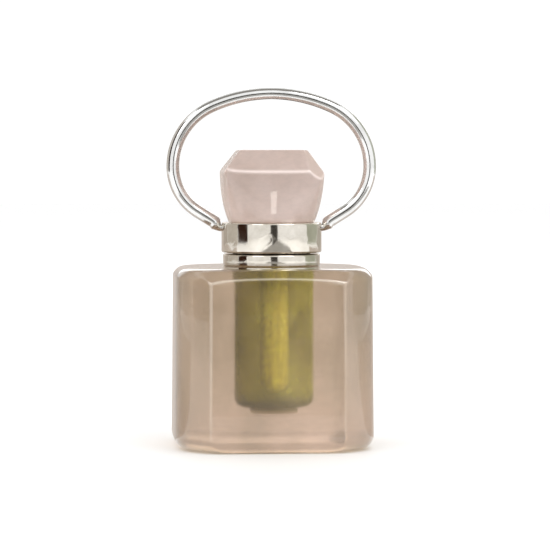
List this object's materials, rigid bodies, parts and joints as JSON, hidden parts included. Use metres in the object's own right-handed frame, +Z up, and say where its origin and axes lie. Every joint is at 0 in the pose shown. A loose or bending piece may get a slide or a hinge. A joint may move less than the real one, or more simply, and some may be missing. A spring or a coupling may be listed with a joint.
{
  "type": "perfume bottle pendant",
  "caption": "Carved rose quartz perfume bottle pendant with a drilled cavity, a screw cap with a stone finial and applicator rod, and a swinging wire bail.",
  "frame": {"origin": "centre of the stone bottle's base, on the surface it stands on", "axes": "+Z up along the bottle's axis, +X towards one end of the bail, +Y towards the back"},
  "size_m": [0.021, 0.0188, 0.0358],
  "materials": {
    "rose_quartz": "polished, milky, lets light through",
    "rose_quartz_finial": "polished, milky",
    "perfume_oil": "clear golden liquid",
    "clear_rod": "clear, golden where the oil wets it",
    "white_plastic": "soft, matte",
    "cement": "dull, set glue",
    "plated_silver": "bright plated metal with fine wear"
  },
  "bodies": {
    "bottle": {"stone_bottle": "rose_quartz", "perfume_oil": "perfume_oil", "neck_cement": "cement", "neck_ring": "plated_silver"},
    "washer": {"sealing_washer": "white_plastic"},
    "rod": {"applicator_rod": "clear_rod"},
    "cap": {"cap_ring": "plated_silver", "finial_cement": "cement", "finial": "rose_quartz_finial"},
    "bail": {"bail": "plated_silver"}
  },
  "joints": [
    {"name": "stopper_pull", "type": "slide", "parent": "bottle", "child": "washer", "axis": [0, 0, 1], "range_m": [0, 0.017]},
    {"name": "thread_lift", "type": "slide", "parent": "washer", "child": "rod", "axis": [0, 0, 1], "range_m": [0, 0.00135]},
    {"name": "cap_turn", "type": "hinge", "parent": "rod", "child": "cap", "pos_m": [0, 0, 0.0198], "axis": [0, 0, 1], "range_deg": [0, 810]},
    {"name": "bail_swing", "type": "hinge", "parent": "cap", "child": "bail", "pos_m": [0, 0, 0.0218], "axis": [1, 0, 0], "range_deg": [-105, 105]}
  ],
  "couplings": [
    {"joint": "thread_lift", "follows": "cap_turn", "m_per_rad": 0.000095493}
  ]
}
